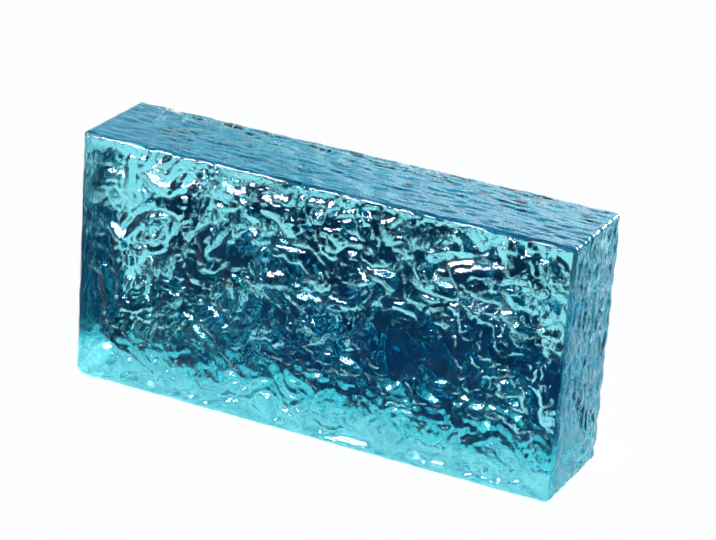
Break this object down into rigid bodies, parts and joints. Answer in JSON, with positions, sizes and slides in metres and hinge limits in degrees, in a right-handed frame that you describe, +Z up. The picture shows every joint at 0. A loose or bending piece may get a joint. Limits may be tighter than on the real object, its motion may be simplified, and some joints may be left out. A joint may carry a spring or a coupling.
{
  "type": "glass block",
  "caption": "Solid cast glass brick in clear aqua blue, with flat beds and ends, softly rounded edges and water-like ripples over both large faces.",
  "frame": {"origin": "middle of the bottom bed, the long narrow face that the block stands on", "axes": "+X along the block's length, +Z up from bed to bed, +Y from the front rippled face to the back one"},
  "size_m": [0.2, 0.045, 0.1],
  "materials": {
    "glass": "clear aqua-blue cast glass, tinted through its depth, glossy fire-polished skin with ripples and a few fine seeds"
  },
  "bodies": {
    "root": {"glass_block": "glass"}
  },
  "joints": []
}
